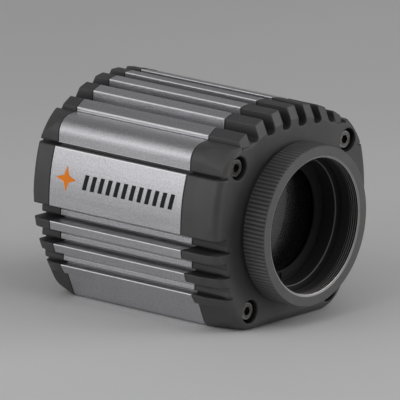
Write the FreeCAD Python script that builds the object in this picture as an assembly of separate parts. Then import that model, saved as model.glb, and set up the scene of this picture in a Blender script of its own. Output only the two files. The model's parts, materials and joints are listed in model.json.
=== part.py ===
"""Cooled astronomy camera: a finned aluminium housing between two dark end caps, with a knurled M42 x 0.75
adapter ring that unscrews from the front. Millimetres, +Z up. The origin is the centre of the adapter ring's
front face, on the optical axis. The front of the camera looks along -Y."""

import FreeCAD, Part
import math
import os

V = FreeCAD.Vector

# ---------------------------------------------------------------- driving dimensions
# Stations along the optical axis, from the front face of the adapter ring (y = 0) to the back.
RING_PROUD = 9.0          # how far the adapter ring stands out of the front cap
FRONT_CAP_LENGTH = 13.0
GASKET = 0.3
GASKET_INSET = 0.25
SHELL_LENGTH = 50.2
REAR_CAP_LENGTH = 7.0
CAP_FRONT = RING_PROUD
CAP_REAR = CAP_FRONT + FRONT_CAP_LENGTH
SHELL_FRONT = CAP_REAR + GASKET
SHELL_REAR = SHELL_FRONT + SHELL_LENGTH
REAR_CAP_FRONT = SHELL_REAR + GASKET
BACK = REAR_CAP_FRONT + REAR_CAP_LENGTH

# Outside section of the housing, looking along the optical axis.
SIDE_RADIUS = 35.8        # the ribbed sides lie on a circle about the axis
CROWN = 34.8              # height of the middle top rib
CROWN_RADIUS = 44.0       # the top ribs follow this arc
FLOOR = -30.4             # underside
SHOULDER_HALF = 32.0      # half width over the two upper corner panels
SHOULDER_TOP = 26.9
LOGO_TOP = 17.6           # upper edge of the wide side panel
LOGO_TOP_HALF = 33.6      # half width there
CORNER_CREASE = 0.75      # height of the crease above the wide panel
CORNER_CREASE_HALF = 30.6 # half width at the bottom of that crease
LOGO_STRAIGHT_TOP = 4.0   # below this height the wide side panel is upright
SKIRT_TOP = -19.3
SKIRT_TOP_HALF = 28.0     # half width of the lowest, slanted side panels at that height
SKIRT_BOTTOM_HALF = 22.7
LAST_LAND_BOTTOM = -22.3
RIB_PITCH = 7.36
RIB_WIDTH = 3.66
RIB_COUNT = 7
SLOT_FLOOR = 28.4         # floor of the two middle top slots
SLOT_FLOOR_RADIUS = 122.0 # the slot floors follow this arc
BORE_RADIUS = 26.5        # inside of the housing

# Side grooves: top, ledge bottom, half width at the ledge, slit bottom, half width at the slit.
SIDE_GROOVES = [
    (-0.3, -4.2, 30.3, -4.95, 28.4),
    (-7.7, -11.5, 30.0, -12.3, 28.2),
    (-15.1, -18.4, 28.5, -19.3, 26.9),
]
CREASE = 0.35             # fine line along each ledge

# Envelope of the two caps: arcs of the right half (start, middle, end), smooth where the section has steps.
RIM_ARCS = [
    ((18.0, 30.95), (29.4, 24.2), (33.75, 17.4)),
    ((33.75, 17.4), (35.2, 10.9), (35.85, 3.0)),
    ((35.2, -4.0), (33.1, -11.4), (29.6, -18.5)),
    ((25.5, -25.2), (21.25, -29.02), (15.7, FLOOR)),
]
RIM_BEND = 5.0            # smallest bend where two of the arcs meet
RIM_ROUND = 2.4           # rounding of the caps' outer rims
RIM_DRAW = 0.45           # the envelope is drawn in this far at the outer rim
RIM_TAPER = 1.7           # and stands this far out at the joint, clear of the section
NOSE_LENGTH = 1.9         # the rib ends slope down this far along the axis
NOSE_HEIGHT = 3.8

# Socket-head screws at the four corners, M3.
UPPER_SCREW = (25.5, 20.3)
LOWER_SCREW = (18.5, -24.3)
SCREW_RADIUS = 1.5
SCREW_HEAD_RADIUS = 2.75
SCREW_HEAD_HEIGHT = 3.0
COUNTERBORE_RADIUS = 3.65
COUNTERBORE_DEPTH = 4.2
CLEARANCE_RADIUS = 1.7
HEX_KEY = 2.5             # across flats

# Adapter ring and its threads.
T2_MINOR = 20.594         # wall radius of the M42 x 0.75 internal thread
T2_MAJOR = 21.0
THREAD_PITCH = 0.75
RING_RADIUS = 24.4
RING_BACK = 8.2           # rear of the knurled flange
RING_MOUTH = 21.25        # radius of the chamfer at the mouth
MOUTH_CHAMFER = 0.4
THREAD_TURNS = 8
STEP_Y = 7.8              # shoulder behind the thread
STEP_RADIUS = 19.3        # clear hole behind the shoulder
SHANK_RADIUS = 22.5       # outside of the male thread that holds the ring in the cap
SHANK_END = 12.7
SOCKET_FLOOR = 13.0
FIT_GAP = 0.08            # radial gap of the running fits
KNURL_TEETH = 120
KNURL_DEPTH = 0.4

# Window in front of the chamber.
RETAINER_RADIUS = 18.8
WINDOW_FRONT = 14.0
WINDOW_BACK = 15.4
WINDOW_RADIUS = 17.4
WINDOW_SEAT = 16.2
WINDOW_CLEAR = 15.8

# Sensor: its front is 17.5 mm behind the ring's face.
SENSOR_PLANE = 17.5
SENSOR_SIZE = (13.2, 8.8)
PACKAGE_SIZE = (20.0, 17.0)
PACKAGE_FRONT = 17.0
PACKAGE_BACK = 19.4
COVER_FRONT = 16.4
SENSOR_BOARD_BACK = 20.8

# Sealed chamber and cooler.
CHAMBER_OUTER = 25.8
CHAMBER_INNER = 20.0
SPREADER_FRONT = 30.2
SPREADER_BACK = 35.2
SPREADER_RADIUS = 26.44
FINGER_FOOT = 23.5
COLD_PLATE = 27.0
PELLETS = 27.8
HOT_PLATE = 29.2
CHAMBER_SCREW_CIRCLE = 23.2
SEAL_CIRCLE = 21.2

# Electronics behind the heat spreader.
BOARD_RADIUS = 24.5
BOARD_THICK = 1.6
MAIN_BOARD = 44.0
PORT_BOARD = 58.0
STANDOFF_CIRCLE = 21.5
RIBBON_Z = -16.3
WIRE_X = 2.6
WIRE_Z = -11.5
USB_X = -9.0
POWER_X = 10.0
PORT_Z = 0.0
LIGHT_Z = 12.0
PLUG_RADIUS = 2.85        # bore of the power socket
REAR_WALL = 3.0

# Inlaid mark on the wide panel of the left side.
MARK_Z = 8.9
STAR_Y = 66.4
STAR_RADIUS = 3.9
BAR_COUNT = 12
BAR_FIRST = 60.2
BAR_PITCH = 2.98
BAR_WIDTH = 1.55
BAR_HEIGHT = 4.6
BAR_SLANT = 0.9
MARK_DEPTH = 0.35


# ---------------------------------------------------------------- small helpers
def rounded(corners, y=0.0):
    """Closed face across the axis from corners (x, z) or (x, z, radius), joined by straight edges."""
    pts = [V(c[0], y, c[1]) for c in corners]
    radii = [c[2] if len(c) > 2 else 0.0 for c in corners]
    edges = []
    starts = []
    ends = []
    for i, p in enumerate(pts):
        before = (pts[i - 1] - p).normalize()
        after = (pts[(i + 1) % len(pts)] - p).normalize()
        if radii[i] == 0:
            starts.append(p)
            ends.append(p)
            edges.append(None)
            continue
        half = before.getAngle(after) / 2
        reach = radii[i] / math.tan(half)
        a = p + before * reach
        b = p + after * reach
        bisector = (before + after).normalize()
        middle = p + bisector * (radii[i] / math.sin(half) - radii[i])
        starts.append(a)
        ends.append(b)
        edges.append(Part.Arc(a, middle, b).toShape())
    outline = []
    for i in range(len(pts)):
        if edges[i] is not None:
            outline.append(edges[i])
        nxt = starts[(i + 1) % len(pts)]
        if (nxt - ends[i]).Length > 1e-6:
            outline.append(Part.LineSegment(ends[i], nxt).toShape())
    return Part.Face(Part.Wire(Part.__sortEdges__(outline)))


def prism(corners, y0, y1):
    return rounded(corners, y0).extrude(V(0, y1 - y0, 0))


def cylinder(radius, y0, y1, x=0.0, z=0.0):
    return Part.makeCylinder(radius, y1 - y0, V(x, y0, z), V(0, 1, 0))


def box(x0, x1, y0, y1, z0, z1):
    return Part.makeBox(x1 - x0, y1 - y0, z1 - z0, V(x0, y0, z0))


def slab(width, height, y0, y1, x=0.0, z=0.0):
    """Rectangular block centred on (x, z)."""
    return box(x - width / 2, x + width / 2, y0, y1, z - height / 2, z + height / 2)


def lathe(profile):
    """Solid of revolution about the optical axis from (radius, y) corners."""
    wire = Part.makePolygon([V(r, y, 0) for r, y in profile] + [V(profile[0][0], profile[0][1], 0)])
    return Part.Face(wire).revolve(V(0, 0, 0), V(0, 1, 0), 360)


def mirrored(shape):
    return shape.mirror(V(0, 0, 0), V(1, 0, 0))


def both(shape):
    return [shape, mirrored(shape)]


def fuse(shapes):
    return shapes[0].multiFuse(shapes[1:]) if len(shapes) > 1 else shapes[0]


def rim_at(solid, y):
    """Circular edges of a turned solid at station y."""
    return [e for e in solid.Edges if len(e.Vertexes) == 1 and abs(e.Vertexes[0].Point.y - y) < 1e-6]


def hexagon(across, y0, y1, x, z):
    r = across / math.sqrt(3)
    turns = [math.radians(60 * k) for k in range(7)]
    pts = [V(x + r * math.cos(t), y0, z + r * math.sin(t)) for t in turns]
    return Part.Face(Part.makePolygon(pts)).extrude(V(0, y1 - y0, 0))


def crown_height(x):
    return CROWN - CROWN_RADIUS + math.sqrt(CROWN_RADIUS ** 2 - x ** 2)


def slot_floor(x):
    return SLOT_FLOOR - SLOT_FLOOR_RADIUS + math.sqrt(SLOT_FLOOR_RADIUS ** 2 - x ** 2)


# ---------------------------------------------------------------- housing section
def blocks(y0, y1):
    """The four overlapping blocks of the outside shape, without grooves: top, shoulders, sides, skirt."""
    crown_half = RIB_PITCH * (RIB_COUNT // 2) + RIB_WIDTH / 2
    top_left = V(-crown_half, y0, crown_height(crown_half))
    top_right = V(crown_half, y0, top_left.z)
    top = Part.Face(Part.Wire([
        Part.Arc(top_left, V(0, y0, CROWN), top_right).toShape(),
        Part.LineSegment(top_right, V(crown_half, y0, 10)).toShape(),
        Part.LineSegment(V(crown_half, y0, 10), V(-crown_half, y0, 10)).toShape(),
        Part.LineSegment(V(-crown_half, y0, 10), top_left).toShape(),
    ])).extrude(V(0, y1 - y0, 0))
    w = SHOULDER_HALF
    shoulders = prism([
        (-w, 0), (-w, SHOULDER_TOP - 1.4, 5.2), (-w + 10, SHOULDER_TOP),
        (w - 10, SHOULDER_TOP), (w, SHOULDER_TOP - 1.4, 5.2), (w, 0)], y0, y1)
    r = SIDE_RADIUS
    low = LAST_LAND_BOTTOM
    low_x = math.sqrt(r ** 2 - low ** 2)
    bend = V(-r, y0, LOGO_STRAIGHT_TOP)
    logo_top = V(-LOGO_TOP_HALF, y0, LOGO_TOP)
    # the wide panel leaves the upright at LOGO_STRAIGHT_TOP on a tangent arc
    dx, dz = logo_top.x - bend.x, logo_top.z - bend.z
    logo_radius = (dx ** 2 + dz ** 2) / (2 * dx)
    turn = math.asin(dz / logo_radius) / 2
    logo_mid = V(bend.x + logo_radius * (1 - math.cos(turn)), y0, bend.z + logo_radius * math.sin(turn))
    side_turn = math.asin(low / r) / 2
    side_mid = V(-r * math.cos(side_turn), y0, r * math.sin(side_turn))
    left = [
        Part.Arc(logo_top, logo_mid, bend).toShape(),
        Part.LineSegment(bend, V(-r, y0, 0)).toShape(),
        Part.Arc(V(-r, y0, 0), side_mid, V(-low_x, y0, low)).toShape(),
    ]
    right = [mirrored(e) for e in left]
    closing = [
        Part.LineSegment(V(-low_x, y0, low), V(low_x, y0, low)).toShape(),
        Part.LineSegment(V(-logo_top.x, y0, logo_top.z), logo_top).toShape(),
    ]
    sides = Part.Face(Part.Wire(Part.__sortEdges__(left + right + closing))).extrude(V(0, y1 - y0, 0))
    slope = (SKIRT_TOP_HALF - SKIRT_BOTTOM_HALF) / (SKIRT_TOP - FLOOR)
    skirt_top = SKIRT_TOP + 7
    skirt_half = SKIRT_BOTTOM_HALF + slope * (skirt_top - FLOOR)
    skirt = prism([
        (-skirt_half, skirt_top), (-SKIRT_BOTTOM_HALF, FLOOR, 3.0),
        (SKIRT_BOTTOM_HALF, FLOOR, 3.0), (skirt_half, skirt_top)], y0, y1)
    return [top, shoulders, sides, skirt]


def grooves(y0, y1):
    """Cutters for the top slots, the side ledges and slits and the fine lines between panels."""
    cut = []
    for k in range(RIB_COUNT - 1):
        x = (k - (RIB_COUNT - 2) / 2) * RIB_PITCH
        half = (RIB_PITCH - RIB_WIDTH) / 2
        floor = slot_floor(x)
        slot = [(x - half, floor, 1.2), (x + half, floor, 1.2), (x + half, 40), (x - half, 40)]
        cut.append(prism(slot, y0, y1))
    edge = RIB_PITCH * (RIB_COUNT // 2) + RIB_WIDTH / 2
    left = [
        box(-edge - 0.5, -edge, y0, y1, SHOULDER_TOP - 1.3, 40),
        box(-40, -CORNER_CREASE_HALF, y0, y1, LOGO_TOP, LOGO_TOP + CORNER_CREASE),
    ]
    for top, ledge_bottom, ledge, slit_bottom, slit in SIDE_GROOVES:
        left.append(prism([
            (-40, top), (-ledge, top, 0.5), (-ledge, ledge_bottom), (-slit, ledge_bottom),
            (-slit, slit_bottom), (-40, slit_bottom)], y0, y1))
        middle = (top + ledge_bottom) / 2
        left.append(prism([
            (-ledge - 0.2, middle + CREASE / 2), (-ledge + 0.25, middle),
            (-ledge - 0.2, middle - CREASE / 2)], y0, y1))
    for shape in left:
        cut += both(shape)
    return cut


def section(y, ease=0.3):
    """The grooved outline as one flat face, its outward corners eased."""
    solid = fuse(blocks(y, y + 1)).removeSplitter()
    solid = solid.cut(fuse(grooves(y - 1, y + 2))).removeSplitter()
    face = [f for f in solid.Faces if all(abs(v.Point.y - y) < 1e-6 for v in f.Vertexes)][0]
    return face.makeOffset2D(-ease, 2).makeOffset2D(ease, 0)


def rim_outline(y, grow):
    """Smooth envelope of the caps at one station, as a wire."""
    edges = []
    for arc in RIM_ARCS:
        a, b, c = [V(x, y, z) for x, z in arc]
        edges.append(Part.Arc(a, b, c).toShape())
    for k in (1, 2):
        (ax, az), (bx, bz) = RIM_ARCS[k][2], RIM_ARCS[k + 1][0]
        edges.append(Part.LineSegment(V(ax, y, az), V(bx, y, bz)).toShape())
    edges += [mirrored(e) for e in edges]
    corner_x, corner_z = RIM_ARCS[0][0]
    foot = RIM_ARCS[-1][2][0]
    edges.append(Part.Arc(V(-corner_x, y, corner_z), V(0, y, CROWN), V(corner_x, y, corner_z)).toShape())
    edges.append(Part.LineSegment(V(-foot, y, FLOOR), V(foot, y, FLOOR)).toShape())
    outline = Part.Face(Part.Wire(Part.__sortEdges__(edges)))
    return outline.makeOffset2D(-RIM_BEND, 2).makeOffset2D(RIM_BEND + grow, 0).OuterWire


def rim_blank(joint, end):
    """Envelope of a cap: clear of the section at the joint, drawn in towards its rounded outer rim."""
    blank = Part.makeLoft([rim_outline(end, -RIM_DRAW), rim_outline(joint, RIM_TAPER)], True, True)
    rim = [e for e in blank.Edges if all(abs(v.Point.y - end) < 1e-6 for v in e.Vertexes)]
    return blank.makeFillet(RIM_ROUND, rim)


def rib_noses(joint, end):
    """Cutter that slopes the rib ends of a cap down towards its end face."""
    inward = 1 if joint > end else -1
    base = CROWN - CROWN_RADIUS
    tip = CROWN_RADIUS - NOSE_HEIGHT
    over = NOSE_HEIGHT / NOSE_LENGTH
    pts = [(CROWN_RADIUS, end + inward * NOSE_LENGTH), (tip - over, end - inward),
           (CROWN_RADIUS + 9, end - inward), (CROWN_RADIUS + 9, end + inward * NOSE_LENGTH)]
    face = Part.Face(Part.makePolygon([V(r, y, 0) for r, y in pts + pts[:1]]))
    cone = face.revolve(V(0, 0, 0), V(0, 1, 0), 360)
    cone.translate(V(0, 0, base))
    edge = RIB_PITCH * (RIB_COUNT // 2) + RIB_WIDTH / 2 + 0.3
    low, high = sorted((end - inward, end + inward * NOSE_LENGTH))
    return cone.common(box(-edge, edge, low, high, SHOULDER_TOP - 1, CROWN + 2))


def corner_screws():
    upper = [(sx * UPPER_SCREW[0], UPPER_SCREW[1]) for sx in (-1, 1)]
    lower = [(sx * LOWER_SCREW[0], LOWER_SCREW[1]) for sx in (-1, 1)]
    return upper + lower


def around(radius, count, start=0.0):
    """Evenly spaced (x, z) points on a circle about the axis."""
    step = 2 * math.pi / count
    first = math.radians(start)
    return [(radius * math.cos(first + k * step), radius * math.sin(first + k * step)) for k in range(count)]


def thread_grooves(wall, root, y0, turns):
    """Thread profile cut from a wall radius to a root radius, as one closed groove per turn."""
    half_root = THREAD_PITCH / 16
    half_wall = half_root + abs(root - wall) * math.tan(math.radians(30))
    over = 0.3 if wall < root else -0.3
    cut = []
    for k in range(turns):
        y = y0 + (k + 0.5) * THREAD_PITCH
        cut.append(lathe([(root, y - half_root), (wall, y - half_wall), (wall - over, y - half_wall),
                          (wall - over, y + half_wall), (wall, y + half_wall), (root, y + half_root)]))
    return cut


# ---------------------------------------------------------------- housing
def mark_prisms():
    """Star and slanted bars, extruded outward through the left side panel from a flat pocket floor."""
    def chord(z):
        # half width of the curved panel at height z
        top = LOGO_TOP - LOGO_STRAIGHT_TOP
        dx = SIDE_RADIUS - LOGO_TOP_HALF
        radius = (dx ** 2 + top ** 2) / (2 * dx)
        rise = max(0.0, z - LOGO_STRAIGHT_TOP)
        return SIDE_RADIUS - (radius - math.sqrt(radius ** 2 - rise ** 2))
    low = MARK_Z - STAR_RADIUS
    high = MARK_Z + STAR_RADIUS
    tilt = (chord(low) - chord(high)) / (high - low)
    normal = V(-1, 0, tilt).normalize()

    def floor_point(y, z):
        x = chord(MARK_Z) + (MARK_Z - z) * tilt - MARK_DEPTH
        return V(-x, y, z)

    def plate(outline):
        pts = [floor_point(y, z) for y, z in outline]
        return Part.Face(Part.makePolygon(pts + [pts[0]])).extrude(normal * 3)
    star = []
    for k in range(8):
        r = STAR_RADIUS if k % 2 == 0 else STAR_RADIUS * 0.36
        t = math.radians(90 + 45 * k)
        star.append((STAR_Y + r * math.cos(t), MARK_Z + r * math.sin(t)))
    bars = []
    for k in range(BAR_COUNT):
        y = BAR_FIRST - k * BAR_PITCH
        z0 = MARK_Z - BAR_HEIGHT / 2
        z1 = MARK_Z + BAR_HEIGHT / 2
        far = y - BAR_WIDTH
        bars.append(plate([(y, z0), (far, z0), (far - BAR_SLANT, z1), (y - BAR_SLANT, z1)]))
    return plate(star), Part.makeCompound(bars)


def housing_and_mark():
    shell = section(SHELL_FRONT).extrude(V(0, SHELL_LENGTH, 0))
    shell = shell.cut(cylinder(BORE_RADIUS, SHELL_FRONT - 1, SHELL_REAR + 1))
    star, bars = mark_prisms()
    inlay_star = shell.common(star)
    inlay_bars = shell.common(bars)
    holes = [star, bars]
    for x, z in corner_screws():
        holes.append(cylinder(SCREW_RADIUS + 0.05, SHELL_FRONT - 1, SHELL_FRONT + 10, x, z))
        holes.append(cylinder(SCREW_RADIUS + 0.05, SHELL_REAR - 10, SHELL_REAR + 1, x, z))
    return shell.cut(holes), inlay_star, inlay_bars


def gasket(y0):
    face = section(y0).makeOffset2D(-GASKET_INSET, 2)
    ring = face.extrude(V(0, GASKET, 0)).cut(cylinder(BORE_RADIUS, y0 - 1, y0 + 2))
    return ring.cut([cylinder(CLEARANCE_RADIUS, y0 - 1, y0 + 2, x, z) for x, z in corner_screws()])


def cap_blank(joint, end):
    """A cap outline with the grooves of the housing, and a smooth rounded rim at its outer end."""
    blank = section(joint).extrude(V(0, end - joint, 0)).common(rim_blank(joint, end))
    return blank.cut(rib_noses(joint, end))


def front_cap():
    cap = cap_blank(CAP_REAR, CAP_FRONT)
    socket = SHANK_RADIUS + FIT_GAP
    bore = lathe([
        (0, CAP_FRONT - 1), (socket + 0.35, CAP_FRONT - 1), (socket + 0.35, CAP_FRONT),
        (socket, CAP_FRONT + 0.35), (socket, SOCKET_FLOOR),
        (RETAINER_RADIUS + 0.05, SOCKET_FLOOR), (RETAINER_RADIUS + 0.05, WINDOW_FRONT),
        (WINDOW_RADIUS + 0.1, WINDOW_FRONT), (WINDOW_RADIUS + 0.1, WINDOW_SEAT), (WINDOW_CLEAR, WINDOW_SEAT),
        (WINDOW_CLEAR, WINDOW_SEAT + 0.8), (CHAMBER_INNER, WINDOW_SEAT + 0.8), (CHAMBER_INNER, CAP_REAR + 1),
        (0, CAP_REAR + 1)])
    cap = cap.cut([bore] + thread_grooves(socket, socket + 0.4, CAP_FRONT + 0.4, 4))
    posts = [cylinder(1.9, WINDOW_SEAT + 0.4, PACKAGE_BACK, x, z) for x, z in around(17.6, 4, 45)]
    cap = cap.fuse(posts)
    holes = []
    for x, z in corner_screws():
        holes.append(cylinder(COUNTERBORE_RADIUS, CAP_FRONT - 1, CAP_FRONT + COUNTERBORE_DEPTH, x, z))
        holes.append(cylinder(CLEARANCE_RADIUS, CAP_FRONT, CAP_REAR + 1, x, z))
    for x, z in around(CHAMBER_SCREW_CIRCLE, 4, 45):
        holes.append(cylinder(1.3, CAP_REAR - 6.5, CAP_REAR + 1, x, z))
    for x, z in around(17.6, 4, 45):
        holes.append(cylinder(0.85, WINDOW_SEAT + 0.9, PACKAGE_BACK + 1, x, z))
    return cap.cut(holes)


def rear_cap():
    cap = cap_blank(REAR_CAP_FRONT, BACK)
    cap = cap.cut(cylinder(BOARD_RADIUS + 0.5, REAR_CAP_FRONT - 1, BACK - REAR_WALL))
    holes = []
    for x, z in corner_screws():
        holes.append(cylinder(COUNTERBORE_RADIUS, BACK - COUNTERBORE_DEPTH, BACK + 1, x, z))
        holes.append(cylinder(CLEARANCE_RADIUS, REAR_CAP_FRONT - 1, BACK, x, z))
    holes.append(box(USB_X - 6.15, USB_X + 6.15, BACK - 5, BACK + 1, PORT_Z - 5.6, PORT_Z + 5.6))
    holes.append(cylinder(4.15, BACK - 5, BACK + 1, POWER_X, PORT_Z))
    holes.append(cylinder(1.3, BACK - 5, BACK + 1, 0, LIGHT_Z))
    return cap.cut(holes)


def cap_screw(head_face, tip, x, z):
    """Socket-head screw along Y: head_face is the outer end of the head."""
    sign = 1 if tip > head_face else -1
    under = head_face + sign * SCREW_HEAD_HEIGHT
    low, high = sorted((head_face, under))
    head = cylinder(SCREW_HEAD_RADIUS, low, high, x, z)
    head = head.makeChamfer(0.25, rim_at(head, head_face))
    low, high = sorted((under, tip))
    screw = head.fuse(cylinder(SCREW_RADIUS, low, high, x, z)).removeSplitter()
    low, high = sorted((head_face - sign, head_face + sign * 1.6))
    return screw.cut(hexagon(HEX_KEY, low, high, x, z))


def front_screws():
    start = CAP_FRONT + COUNTERBORE_DEPTH - SCREW_HEAD_HEIGHT
    return Part.makeCompound([cap_screw(start, SHELL_FRONT + 8, x, z) for x, z in corner_screws()])


def rear_screws():
    start = BACK - COUNTERBORE_DEPTH + SCREW_HEAD_HEIGHT
    return Part.makeCompound([cap_screw(start, SHELL_REAR - 8, x, z) for x, z in corner_screws()])


# ---------------------------------------------------------------- adapter ring
def knurled_band(y0, y1, root):
    """Band of straight ridges whose tips slope down to the core at both ends."""
    step = 2 * math.pi / KNURL_TEETH
    pts = []
    for k in range(KNURL_TEETH):
        for part, r in ((0.0, root), (0.38, RING_RADIUS), (0.62, RING_RADIUS)):
            t = (k + part) * step
            pts.append(V(r * math.cos(t), y0, r * math.sin(t)))
    ridges = Part.Face(Part.makePolygon(pts + [pts[0]])).extrude(V(0, y1 - y0, 0))
    slope = RING_RADIUS - root
    envelope = lathe([(0, y0), (root, y0), (RING_RADIUS, y0 + slope), (RING_RADIUS, y1 - slope),
                      (root, y1), (0, y1)])
    return ridges.common(envelope)


def adapter_ring():
    root = RING_RADIUS - KNURL_DEPTH
    core = lathe([
        (0, 0), (root - 0.1, 0), (root, 0.1), (root, RING_BACK - 0.3), (root - 0.3, RING_BACK),
        (SHANK_RADIUS, RING_BACK), (SHANK_RADIUS, SHANK_END - 0.3), (SHANK_RADIUS - 0.3, SHANK_END),
        (0, SHANK_END)])
    ring = core.fuse(knurled_band(0, RING_BACK - 0.2, root - 0.05))
    thread_end = MOUTH_CHAMFER + THREAD_TURNS * THREAD_PITCH
    bore = lathe([
        (0, -1), (RING_MOUTH, -1), (RING_MOUTH, 0), (T2_MINOR, MOUTH_CHAMFER), (T2_MINOR, thread_end),
        (T2_MAJOR + 0.1, thread_end + 0.3), (T2_MAJOR + 0.1, STEP_Y), (STEP_RADIUS + 0.3, STEP_Y),
        (STEP_RADIUS, STEP_Y + 0.3), (STEP_RADIUS, SHANK_END + 1), (0, SHANK_END + 1)])
    ring = ring.cut([bore] + thread_grooves(T2_MINOR, T2_MAJOR, MOUTH_CHAMFER, THREAD_TURNS))
    return ring.cut(thread_grooves(SHANK_RADIUS, SHANK_RADIUS - 0.4, CAP_FRONT + 0.1, 4))


def adapter_washer():
    return lathe([(SHANK_RADIUS + FIT_GAP, RING_BACK), (23.5, RING_BACK), (23.5, CAP_FRONT),
                  (SHANK_RADIUS + FIT_GAP, CAP_FRONT)])


# ---------------------------------------------------------------- window
def window_retainer():
    ring = lathe([(16.0, SOCKET_FLOOR), (RETAINER_RADIUS, SOCKET_FLOOR), (RETAINER_RADIUS, WINDOW_FRONT),
                  (16.4, WINDOW_FRONT), (16.0, WINDOW_FRONT - 0.4)])
    notches = [slab(1.6, 2.0, SOCKET_FLOOR - 1, SOCKET_FLOOR + 0.5, 0, s * 17.6) for s in (-1, 1)]
    return ring.cut(notches)


def window():
    glass = cylinder(WINDOW_RADIUS, WINDOW_FRONT, WINDOW_BACK)
    return glass.makeChamfer(0.15, [e for e in glass.Edges if len(e.Vertexes) == 1])


def o_ring(circle, y, section_radius):
    return Part.makeTorus(circle, section_radius, V(0, y, 0), V(0, 1, 0))


# ---------------------------------------------------------------- sensor
def sensor_package():
    body = slab(PACKAGE_SIZE[0], PACKAGE_SIZE[1], PACKAGE_FRONT, PACKAGE_BACK)
    return body.cut(slab(SENSOR_SIZE[0] + 2, SENSOR_SIZE[1] + 2, PACKAGE_FRONT - 1, SENSOR_PLANE + 0.4))


def sensor_board():
    board = cylinder(18.9, PACKAGE_BACK, SENSOR_BOARD_BACK)
    holes = [cylinder(0.9, PACKAGE_BACK - 1, SENSOR_BOARD_BACK + 1, x, z) for x, z in around(17.6, 4, 45)]
    flats = [box(-20, 20, PACKAGE_BACK - 1, SENSOR_BOARD_BACK + 1, 18.0, 20)]
    return board.cut([slab(10, 10, PACKAGE_BACK - 1, SENSOR_BOARD_BACK + 1)] + holes + flats)


def pan_screw(x, z, head_back, head_front, tip, head_radius, radius):
    """Small pan-head screw whose head is at the back."""
    head = cylinder(head_radius, head_front, head_back, x, z)
    head = head.makeFillet(0.3 * (head_back - head_front), rim_at(head, head_back))
    screw = head.fuse(cylinder(radius, tip, head_front, x, z)).removeSplitter()
    depth = 0.5 * (head_back - head_front)
    arm = head_radius * 0.6
    cross = [box(x - arm, x + arm, head_back - depth, head_back + 1, z - 0.2, z + 0.2),
             box(x - 0.2, x + 0.2, head_back - depth, head_back + 1, z - arm, z + arm)]
    return screw.cut(cross)


def sensor_screws():
    return Part.makeCompound([
        pan_screw(x, z, SENSOR_BOARD_BACK + 0.9, SENSOR_BOARD_BACK, WINDOW_SEAT + 1.1, 1.3, 0.8)
        for x, z in around(17.6, 4, 45)])


# ---------------------------------------------------------------- chamber and cooler
def chamber_ring():
    ring = cylinder(CHAMBER_OUTER, CAP_REAR, SPREADER_FRONT)
    cut = [cylinder(CHAMBER_INNER, CAP_REAR - 1, SPREADER_FRONT + 1)]
    for x, z in around(CHAMBER_SCREW_CIRCLE, 4, 45):
        cut.append(cylinder(1.4, CAP_REAR - 1, SPREADER_FRONT + 1, x, z))
    for y0, y1 in ((CAP_REAR - 1, CAP_REAR + 0.76), (SPREADER_FRONT - 0.76, SPREADER_FRONT + 1)):
        cut.append(cylinder(SEAL_CIRCLE + 0.45, y0, y1).cut(cylinder(SEAL_CIRCLE - 0.45, y0 - 1, y1 + 1)))
    return ring.cut(cut)


def chamber_seals():
    stations = (CAP_REAR + 0.38, SPREADER_FRONT - 0.38)
    return Part.makeCompound([o_ring(SEAL_CIRCLE, y, 0.37) for y in stations])


def heat_spreader():
    disc = cylinder(SPREADER_RADIUS, SPREADER_FRONT, SPREADER_BACK)
    disc = disc.makeChamfer(0.3, [e for e in disc.Edges if len(e.Vertexes) == 1])
    cut = [box(-5, 5, SPREADER_FRONT - 1, SPREADER_BACK + 1, RIBBON_Z - 0.7, RIBBON_Z + 0.7)]
    for x, z in around(CHAMBER_SCREW_CIRCLE, 4, 45):
        cut.append(cylinder(1.4, SPREADER_FRONT - 1, SPREADER_BACK + 1, x, z))
        cut.append(cylinder(2.4, SPREADER_BACK - 2.6, SPREADER_BACK + 1, x, z))
    for x, z in around(STANDOFF_CIRCLE, 4):
        cut.append(cylinder(1.3, SPREADER_BACK - 3.7, SPREADER_BACK + 1, x, z))
    for sx in (-1, 1):
        cut.append(cylinder(1.0, SPREADER_FRONT - 1, SPREADER_BACK + 1, sx * WIRE_X, WIRE_Z))
    return disc.cut(cut)


def chamber_screws():
    screws = []
    for x, z in around(CHAMBER_SCREW_CIRCLE, 4, 45):
        head = cylinder(2.2, SPREADER_BACK - 2.6, SPREADER_BACK - 0.1, x, z)
        screw = head.fuse(cylinder(1.25, CAP_REAR - 5.5, SPREADER_BACK - 2.6, x, z)).removeSplitter()
        screws.append(screw.cut(hexagon(2.0, SPREADER_BACK - 1.4, SPREADER_BACK + 1, x, z)))
    return Part.makeCompound(screws)


def cold_finger():
    foot = slab(16, 16, FINGER_FOOT, COLD_PLATE)
    return foot.fuse(slab(9, 9, PACKAGE_BACK, FINGER_FOOT)).removeSplitter()


def cooler_pellets():
    rows = 6
    pitch = 2.4
    pellets = []
    for i in range(rows):
        for j in range(rows):
            x = (i - (rows - 1) / 2) * pitch
            z = (j - (rows - 1) / 2) * pitch
            pellets.append(slab(1.3, 1.3, PELLETS, HOT_PLATE, x, z))
    return Part.makeCompound(pellets)


def cooler_wires():
    """Two leads from the hot plate's lower edge, down and back through the spreader to the main board."""
    wires = []
    y = HOT_PLATE + 0.5
    bend = 1.2
    end = MAIN_BOARD - 3.0
    for sx in (-1, 1):
        x = sx * WIRE_X
        s = math.sqrt(0.5)
        path = Part.Wire([
            Part.LineSegment(V(x, y, -9.0), V(x, y, WIRE_Z + bend)).toShape(),
            Part.Arc(V(x, y, WIRE_Z + bend), V(x, y + bend * (1 - s), WIRE_Z + bend * (1 - s)),
                     V(x, y + bend, WIRE_Z)).toShape(),
            Part.LineSegment(V(x, y + bend, WIRE_Z), V(x, end, WIRE_Z)).toShape(),
        ])
        profile = Part.Wire([Part.makeCircle(0.45, V(x, y, -9.0), V(0, 0, -1))])
        wires.append(path.makePipeShell([profile], True, True))
    return Part.makeCompound(wires)


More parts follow.
